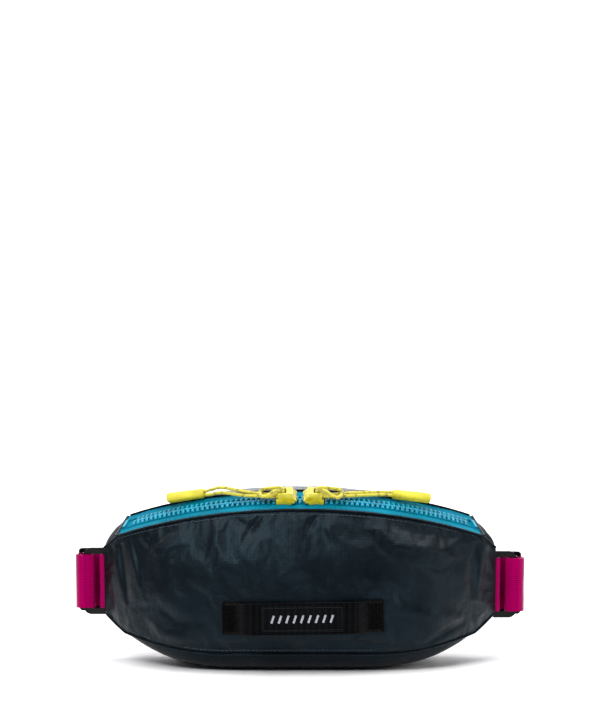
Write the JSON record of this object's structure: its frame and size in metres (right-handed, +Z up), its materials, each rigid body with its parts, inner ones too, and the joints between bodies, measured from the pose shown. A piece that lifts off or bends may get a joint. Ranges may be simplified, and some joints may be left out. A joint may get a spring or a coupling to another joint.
{
  "type": "hip pack",
  "caption": "Fabric hip pack with a curved two-slider zip across its top, cord zip pulls, a front webbing loop and a webbing belt with rings, adjusters and a side-release buckle.",
  "frame": {"origin": "on the resting plane, under the middle of the bag", "axes": "+Z up, +Y from the front of the bag towards its back panel, +X to the right as seen from the front"},
  "size_m": [0.3194, 0.1324, 0.1271],
  "materials": {
    "shell": "fine plain weave with a soft satin sheen",
    "back_mesh": "spacer mesh",
    "foam": "closed-cell foam",
    "lining": "thin smooth nylon",
    "zip_tape": "woven polyester tape",
    "zip_teeth": "moulded acetal",
    "black_webbing": "ribbed webbing",
    "label": "woven patch",
    "belt_webbing": "ribbed webbing",
    "elastic": "ribbed elastic",
    "hardware": "moulded, lightly textured",
    "slider_paint": "baked enamel on die-cast zinc",
    "pull_cord": "braided sheath with dark flecks",
    "pull_grip": "soft moulded grip"
  },
  "bodies": {
    "bag": {"front_panel": "shell", "bottom_gusset": "shell", "back_panel": "back_mesh", "back_foam": "foam", "top_gusset": "shell", "shoulder_left": "shell", "shoulder_right": "shell", "lining": "lining", "inner_pocket": "lining", "zip_tape_front": "zip_tape", "zip_tape_back": "zip_tape", "zip_teeth_front": "zip_teeth", "zip_teeth_back": "zip_teeth", "zip_stop_left": "zip_teeth", "zip_stop_right": "zip_teeth", "light_loop": "black_webbing", "label_patch": "label", "anchor_webbing_left": "belt_webbing", "anchor_webbing_right": "belt_webbing"},
    "slider_left": {"slider_left": "slider_paint"},
    "pull_left": {"pull_cord_left": "pull_cord", "pull_grip_left": "pull_grip"},
    "ring_left": {"ring_left": "hardware"},
    "belt_left": {"belt_webbing_left": "belt_webbing", "triglide_left": "hardware", "buckle_socket": "hardware"},
    "keeper_left": {"keeper_left": "elastic"},
    "slider_right": {"slider_right": "slider_paint"},
    "pull_right": {"pull_cord_right": "pull_cord", "pull_grip_right": "pull_grip"},
    "ring_right": {"ring_right": "hardware"},
    "belt_right": {"belt_webbing_right": "belt_webbing", "triglide_right": "hardware", "buckle_plug": "hardware"},
    "keeper_right": {"keeper_right": "elastic"},
    "prong_upper": {"prong_upper": "hardware"},
    "prong_lower": {"prong_lower": "hardware"}
  },
  "joints": [
    {"name": "slider_left_travel", "type": "hinge", "parent": "bag", "child": "slider_left", "pos_m": [0, 0.16955, -0.00161], "axis": [0, -0.5373, -0.8434], "range_deg": [0, 29]},
    {"name": "slider_right_travel", "type": "hinge", "parent": "bag", "child": "slider_right", "pos_m": [0, 0.16955, -0.00161], "axis": [0, 0.5373, 0.8434], "range_deg": [0, 29]},
    {"name": "pull_left_swing", "type": "hinge", "parent": "slider_left", "child": "pull_left", "pos_m": [-0.01397, -0.01898, 0.12289], "axis": [0.0224, 0.8906, 0.4543], "range_deg": [0, 90]},
    {"name": "pull_right_swing", "type": "hinge", "parent": "slider_right", "child": "pull_right", "pos_m": [0.01397, -0.01898, 0.12289], "axis": [0.0224, -0.8906, -0.4543], "range_deg": [0, 90]},
    {"name": "ring_left_swing", "type": "hinge", "parent": "bag", "child": "ring_left", "pos_m": [-0.1384, 0.022, 0.0563], "axis": [0, 0, 1], "range_deg": [-8, 40]},
    {"name": "belt_left_swing", "type": "hinge", "parent": "ring_left", "child": "belt_left", "pos_m": [-0.1526, 0.022, 0.0563], "axis": [0, 0, 1], "range_deg": [0, 165]},
    {"name": "keeper_left_slide", "type": "slide", "parent": "belt_left", "child": "keeper_left", "axis": [0.9659, 0.2588, 0], "range_m": [-0.02, 0.02]},
    {"name": "ring_right_swing", "type": "hinge", "parent": "bag", "child": "ring_right", "pos_m": [0.1384, 0.022, 0.0538], "axis": [0, 0, -1], "range_deg": [-8, 40]},
    {"name": "belt_right_swing", "type": "hinge", "parent": "ring_right", "child": "belt_right", "pos_m": [0.1526, 0.022, 0.0538], "axis": [0, 0, -1], "range_deg": [0, 165]},
    {"name": "keeper_right_slide", "type": "slide", "parent": "belt_right", "child": "keeper_right", "axis": [-0.9659, 0.2588, 0], "range_m": [-0.02, 0.02]},
    {"name": "prong_upper_flex", "type": "hinge", "parent": "belt_right", "child": "prong_upper", "pos_m": [0.04125, 0.06778, 0.0708], "axis": [-0.2588, -0.9659, 0], "range_deg": [0, 6], "stiffness_Nm_per_rad": 0.3},
    {"name": "prong_lower_flex", "type": "hinge", "parent": "belt_right", "child": "prong_lower", "pos_m": [0.04125, 0.06778, 0.0368], "axis": [0.2588, 0.9659, 0], "range_deg": [0, 6], "stiffness_Nm_per_rad": 0.3}
  ],
  "couplings": [
    {"joint": "prong_lower_flex", "follows": "prong_upper_flex", "ratio": 1}
  ]
}
